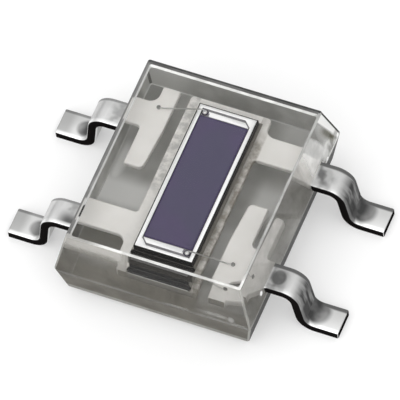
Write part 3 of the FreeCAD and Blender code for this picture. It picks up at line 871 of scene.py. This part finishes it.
def pale_floor(nodes):
    """A white sheet that glows a little in view and in reflections, and keeps its shadow."""
    *_, spot = nodes.place()
    tone = nodes.noise(spot, FLOOR_TONE, detail=3.0)
    rays = ("Is Camera Ray", "Is Glossy Ray", "Is Transmission Ray")
    seen = strongest(*[nodes.add("ShaderNodeLightPath", output=ray) for ray in rays])
    glow = nodes.mix(seen, grey(0.0), FLOOR_GLOW)
    colour = nodes.mix(tone, *FLOOR_WHITE)
    return nodes.principled(base_color=colour, roughness=0.9, emission_color=glow, emission_strength=1.0)


def softened(corners, radii, steps):
    """The outline through the corners with an arc of its own radius at each; radius 0 stays sharp."""
    points = []
    for index, (corner, radius) in enumerate(zip(corners, radii)):
        if not radius:
            points.append(corner)
            continue
        before = (corners[index - 1] - corner).normalized()
        after = (corners[(index + 1) % len(corners)] - corner).normalized()
        half = before.angle(after) / 2
        centre = corner + (before + after).normalized() * (radius / math.sin(half))
        first = corner + before * (radius / math.tan(half)) - centre
        last = corner + after * (radius / math.tan(half)) - centre
        turn = first.angle(last)
        for step in range(steps + 1):
            share = step / steps
            spoke = first * math.sin((1 - share) * turn) + last * math.sin(share * turn)
            points.append(centre + spoke / math.sin(turn))
    return points


def new_piece(name, mesh, materials):
    """A piece of the part that stands where the mesh is and rides with the part."""
    piece = bpy.data.objects.new(name, mesh)
    bpy.context.scene.collection.objects.link(piece)
    for material in materials:
        mesh.materials.append(material)
    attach(piece, "root")
    return piece


def block_profile():
    """The rings of the block from its base to its top, and the finishes between them.

    A ring is its inset from the parting line at the near and right sides, its inset at the far side,
    and its height. The flat top and base run on inward for FLAT_RUN while the rims are rounded. A
    sliver keeps the land's rings apart at the near and right sides, where it isn't set back.
    """
    base, top = BLOCK_LOW.z, BLOCK_HIGH.z
    border = top - LAND_RISE
    half_band = PARTING_BAND / 2
    base_inset = (PARTING_HEIGHT - base) * LOWER_LEAN
    top_inset = (border - PARTING_HEIGHT) * UPPER_LEAN
    corners = [
        Vector((base_inset + FLAT_RUN, base)),
        Vector((base_inset, base)),
        Vector((half_band * LOWER_LEAN, PARTING_HEIGHT - half_band)),
        Vector((half_band * UPPER_LEAN, PARTING_HEIGHT + half_band)),
        Vector((top_inset, border)),
        Vector((top_inset + FLAT_RUN, border)),
    ]
    radii = [0, RIM_RADIUS, 0, 0, RIM_RADIUS, 0]
    rings = [(inset, inset, height) for inset, height in softened(corners, radii, ARC_STEPS)[1:-1]]
    edge = rings[-1][0]
    rings += [
        (edge + LAND_SLIVER, edge + RIM_FLAT, border),
        (edge + 2 * LAND_SLIVER, top_inset + LAND_SETBACK, border),
        (edge + 3 * LAND_SLIVER, top_inset + LAND_SETBACK + LAND_RAMP, top),
    ]
    finishes = [CLEAR] * (ARC_STEPS + 3) + [RIM] * (ARC_STEPS + 1) + [BORDER, LAND_EDGE]
    return rings, finishes


def ring_outline(plain, set_back):
    """A ring seen from above; the left side takes only a share of what the far side is set back."""
    left = plain + (set_back - plain) * LEFT_SETBACK_SHARE - BLOCK_HIGH.x
    right = BLOCK_HIGH.x - plain
    near, far = plain - BLOCK_HIGH.y, BLOCK_HIGH.y - set_back
    corners = [Vector(corner) for corner in ((left, near), (right, near), (right, far), (left, far))]
    return softened(corners, [CORNER_RADIUS] * len(corners), ARC_STEPS)


def make_block(materials):
    """The clear block as one closed shell, rings of a rounded rectangle between two caps."""
    rings, finishes = block_profile()
    bm = bmesh.new()
    loops = []
    for plain, set_back, height in rings:
        outline = ring_outline(plain, set_back)
        loops.append([bm.verts.new((point.x * MM, point.y * MM, height * MM)) for point in outline])
    for lower, upper, laid in zip(loops, loops[1:], finishes):
        for index, corner in enumerate(lower):
            after = (index + 1) % len(lower)
            face = bm.faces.new((corner, lower[after], upper[after], upper[index]))
            middle = face.calc_center_median()
            far_or_left = middle.y / BLOCK_HIGH.y > middle.x / BLOCK_HIGH.x
            instead = FAR_LEFT_FINISHES if far_or_left else NEAR_RIGHT_FINISHES
            face.material_index = instead.get(laid, laid)
    bm.faces.new(loops[0][::-1]).material_index = GROUND
    bm.faces.new(loops[-1]).material_index = CLEAR
    for face in bm.faces:
        face.smooth = True
    mesh = bpy.data.meshes.new("clear_block")
    bm.to_mesh(mesh)
    bm.free()
    block = new_piece("clear_block", mesh, materials)
    block.modifiers.new("true_normals", "WEIGHTED_NORMAL")
    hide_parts("resin_body")


def eased(node, name, radius, material):
    """The node's own form with its edges eased."""
    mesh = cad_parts[node].data.copy()
    mesh.name = name
    mesh.materials.clear()
    bm = bmesh.new()
    bm.from_mesh(mesh)
    bmesh.ops.remove_doubles(bm, verts=bm.verts, dist=SAME_PLACE * MM)
    bmesh.ops.dissolve_limit(bm, angle_limit=math.radians(FLAT_ANGLE), verts=bm.verts, edges=bm.edges)
    for face in bm.faces:
        face.smooth = True
        face.material_index = 0
    bm.to_mesh(mesh)
    bm.free()
    if "custom_normal" in mesh.attributes:
        mesh.attributes.remove(mesh.attributes["custom_normal"])
    piece = new_piece(name, mesh, [material])
    bevel = piece.modifiers.new("eased_edges", "BEVEL")
    bevel.width = radius * MM
    bevel.segments = EDGE_STEPS
    bevel.limit_method = "ANGLE"
    bevel.angle_limit = math.radians(EDGE_ANGLE)
    bevel.use_clamp_overlap = True
    piece.modifiers.new("true_normals", "WEIGHTED_NORMAL")
    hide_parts(node)


def make_leadframe():
    plated = finish("silver_plating", plating)
    for node in ("cathode_leadframe", "anode_lead_left", "anode_lead_right"):
        eased(node, node + "_plated", FRAME_EDGE_RADIUS, plated)


def make_chip():
    eased("die_attach", "die_glue", CHIP_EDGE_RADIUS, finish("silver_glue", glue))
    eased("photodiode_chip", "sawn_chip", CHIP_EDGE_RADIUS, finish("sawn_silicon", sawn_silicon))
    coating = finish("window_coating", window_coating)
    eased("active_window", "coated_window", FILM_EDGE_RADIUS, coating)
    metal = finish("chip_metal", chip_metal)
    for node in ("guard_ring", "contact_strip_far", "contact_strip_near"):
        eased(node, node + "_film", FILM_EDGE_RADIUS, metal)
    wire = finish("bonding_wire", bonding_wire)
    for side in ("left", "right"):
        eased("bond_wire_" + side, side + "_bond_wire", FILM_EDGE_RADIUS, wire)


def aim(thing, back, roll=0.0):
    """Turns a lamp or camera so that it looks along minus back."""
    side = Vector((0, 0, 1)).cross(back).normalized()
    over = back.cross(side)
    turn = math.radians(roll)
    right = math.cos(turn) * side + math.sin(turn) * over
    up = math.cos(turn) * over - math.sin(turn) * side
    thing.matrix_world = Matrix((right, up, back)).transposed().to_4x4()
    return right, up


def towards(azimuth, elevation):
    """The unit vector from the part to a place; azimuth 0 is the near side, 90 the right."""
    across = math.radians(azimuth)
    rise = math.radians(elevation)
    return Vector((math.sin(across) * math.cos(rise), -math.cos(across) * math.cos(rise), math.sin(rise)))


def make_camera():
    data = bpy.data.cameras.new("photo_view")
    data.lens = CAMERA_LENS
    data.sensor_width = CAMERA_SENSOR
    data.clip_start = CAMERA_CLIP_START * MM
    camera = bpy.data.objects.new("photo_view", data)
    bpy.context.scene.collection.objects.link(camera)
    back = towards(CAMERA_AZIMUTH, CAMERA_ELEVATION)
    right, up = aim(camera, back, CAMERA_ROLL)
    camera.location = (back * CAMERA_DISTANCE + right * CAMERA_AIM_RIGHT + up * CAMERA_AIM_UP) * MM
    bpy.context.scene.camera = camera


def make_sky():
    """A soft white sky that is darker towards the horizon, with a dim patch and a bright one."""
    world = bpy.data.worlds.new("studio")
    bpy.context.scene.world = world
    world.use_nodes = True
    nodes = Nodes(world.node_tree)
    direction = nodes.add("ShaderNodeTexCoord", output="Generated")
    height = nodes.add("ShaderNodeSeparateXYZ", sockets={0: direction}, output="Z")
    colour = nodes.mix(height.rise(SKY_RISE), *SKY_LEVELS)
    for azimuth, elevation, reach, full, level in SKY_PATCHES:
        sockets = {0: direction, 1: towards(azimuth, elevation)}
        nearness = nodes.add("ShaderNodeVectorMath", {"operation": "DOT_PRODUCT"}, sockets, output="Value")
        patch = nearness.rise((math.cos(math.radians(reach)), math.cos(math.radians(full))))
        colour = nodes.mix(patch, colour, grey(level))
    sky = nodes.add("ShaderNodeBackground", sockets={"Color": colour, "Strength": 1.0})
    nodes.add("ShaderNodeOutputWorld", sockets={"Surface": sky})


def make_softbox():
    """The rectangular lamp in front of the part."""
    data = bpy.data.lights.new("near_softbox", "AREA")
    data.shape = "RECTANGLE"
    data.size = SOFTBOX_WIDTH * MM
    data.size_y = SOFTBOX_HEIGHT * MM
    data.energy = SOFTBOX_RADIANCE * math.pi * data.size * data.size_y
    lamp = bpy.data.objects.new("near_softbox", data)
    bpy.context.scene.collection.objects.link(lamp)
    back = towards(SOFTBOX_AZIMUTH, SOFTBOX_ELEVATION)
    aim(lamp, back)
    lamp.location = back * SOFTBOX_DISTANCE * MM


def make_floor():
    bm = bmesh.new()
    bmesh.ops.create_grid(bm, x_segments=1, y_segments=1, size=FLOOR_HALF_SIZE * MM)
    mesh = bpy.data.meshes.new("floor")
    bm.to_mesh(mesh)
    bm.free()
    floor = bpy.data.objects.new("floor", mesh)
    mesh.materials.append(finish("pale_floor", pale_floor))
    bpy.context.scene.collection.objects.link(floor)


make_block([
    finish("polished_epoxy", clear_epoxy),
    finish("ground_epoxy", ground_epoxy),
    # The rims and the edge of the land carry painted highlights and painted dark reflections in their greys
    finish("rim_highlight", rim_epoxy, *RIM_HIGHLIGHT_GREY),
    finish("dark_rim", rim_epoxy, *DARK_RIM_GREY),
    finish("land_edge", rim_epoxy, *LAND_EDGE_GREY),
    finish("flat_border", border_epoxy),
])
make_leadframe()
make_chip()
make_camera()
make_sky()
make_softbox()
make_floor()
bpy.context.scene.view_settings.view_transform = "Standard"
